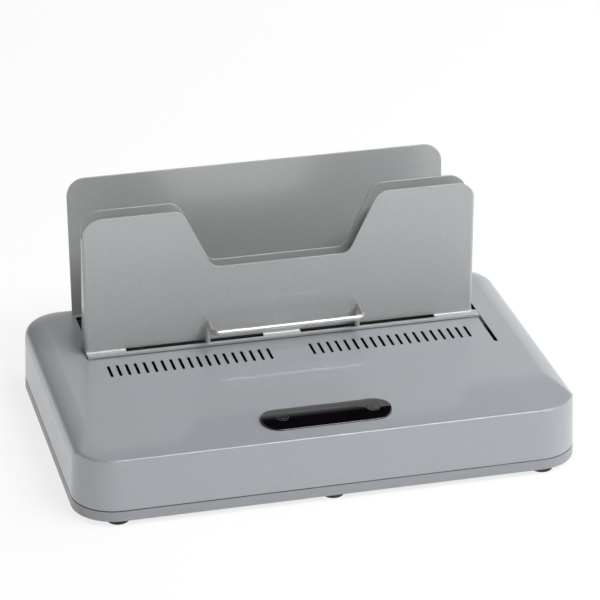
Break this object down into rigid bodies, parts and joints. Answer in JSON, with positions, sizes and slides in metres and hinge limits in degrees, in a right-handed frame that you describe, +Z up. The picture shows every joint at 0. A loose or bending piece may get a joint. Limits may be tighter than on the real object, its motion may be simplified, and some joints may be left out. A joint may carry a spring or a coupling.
{
  "type": "thermal binding machine",
  "caption": "Desk-top thermal binding machine: low silver-grey casing with a long open heating well, upright sheet supports, a wire pull handle, cooling slots and a black control strip.",
  "frame": {"origin": "on the table, under the middle of the base", "axes": "+Z up; -Y is the front with the control strip; +X is the right-hand side as the user faces the front"},
  "size_m": [0.364, 0.246, 0.1597],
  "materials": {
    "casing_plastic": "satin silver-grey moulded plastic",
    "foot_rubber": "matt dark grey rubber",
    "screw_steel": "zinc-plated screw",
    "support_steel": "satin silver-grey paint on bent sheet steel",
    "zinc_steel": "dull zinc-plated sheet",
    "fibre_board": "matt pressed fibre insulation",
    "heater_mat": "matt silicone heating mat",
    "plate_aluminium": "dark anodised, finely ground",
    "thermostat_body": "dark moulded body",
    "fuse_tin": "tinned cap",
    "white_nylon": "natural nylon",
    "rod_steel": "ground and plated rod",
    "dark_nylon": "dark glass-filled nylon",
    "panel_black": "high-gloss black",
    "lens_smoke": "smoked, finely textured",
    "light_green": "translucent diode",
    "board_green": "solder mask over glass fibre",
    "part_black": "matt black moulding",
    "relay_blue": "blue relay case",
    "sink_aluminium": "bare extrusion",
    "capacitor_sleeve": "shrunk sleeve",
    "terminal_green": "green terminal block",
    "pin_brass": "nickel-plated brass",
    "lead_white": "heat-resistant sleeve",
    "lead_black": "black insulation",
    "cable_grey": "grey ribbon",
    "handle_chrome": "polished chrome wire"
  },
  "bodies": {
    "casing": {"top_casing": "casing_plastic", "lower_casing": "casing_plastic", "rubber_feet": "foot_rubber", "casing_screws": "screw_steel", "rear_support": "support_steel", "rear_support_screws": "screw_steel", "heater_tray": "zinc_steel", "tray_screws": "screw_steel", "insulation_board": "fibre_board", "heater_element": "heater_mat", "heating_plate": "plate_aluminium", "plate_screws": "screw_steel", "thermostat": "thermostat_body", "thermal_fuse": "fuse_tin", "fuse_clip": "white_nylon", "guide_rod_left": "rod_steel", "guide_rod_right_lower": "rod_steel", "guide_rod_right_upper": "rod_steel", "rod_bracket_left_front": "dark_nylon", "rod_bracket_left_rear": "dark_nylon", "rod_bracket_right_front": "dark_nylon", "rod_bracket_right_rear": "dark_nylon", "bracket_screws": "screw_steel", "control_panel": "panel_black", "indicator_lens": "lens_smoke", "indicator_light": "light_green", "switch_board": "board_green", "switch_board_screws": "screw_steel", "switch_case": "part_black", "control_board": "board_green", "board_screws": "screw_steel", "transformer": "part_black", "relay": "relay_blue", "triac": "part_black", "heat_sink": "sink_aluminium", "capacitor": "capacitor_sleeve", "buzzer": "part_black", "terminal_block": "terminal_green", "power_inlet": "part_black", "inlet_pins": "pin_brass", "heater_leads": "lead_white", "mains_leads": "lead_black", "thermostat_leads": "lead_white", "panel_cable": "cable_grey"},
    "front_support": {"front_support": "support_steel", "pull_handle": "handle_chrome", "glide_pads": "white_nylon", "front_carriage": "white_nylon", "front_carriage_screws": "screw_steel"},
    "middle_support": {"middle_support": "support_steel", "middle_carriage_left": "white_nylon", "middle_carriage_right": "white_nylon", "middle_carriage_screws": "screw_steel"},
    "power_button": {"power_button": "panel_black", "switch_plunger": "part_black"}
  },
  "joints": [
    {"name": "front_support_slide", "type": "slide", "parent": "casing", "child": "front_support", "axis": [0, -1, 0], "range_m": [-0.004, 0.04]},
    {"name": "middle_support_slide", "type": "slide", "parent": "casing", "child": "middle_support", "axis": [0, 1, 0], "range_m": [0, 0.0438]},
    {"name": "power_button_press", "type": "slide", "parent": "casing", "child": "power_button", "axis": [0, 0.074, -0.9973], "range_m": [0, 0.0008], "stiffness_N_per_m": 1500, "springref_m": -0.0003}
  ]
}
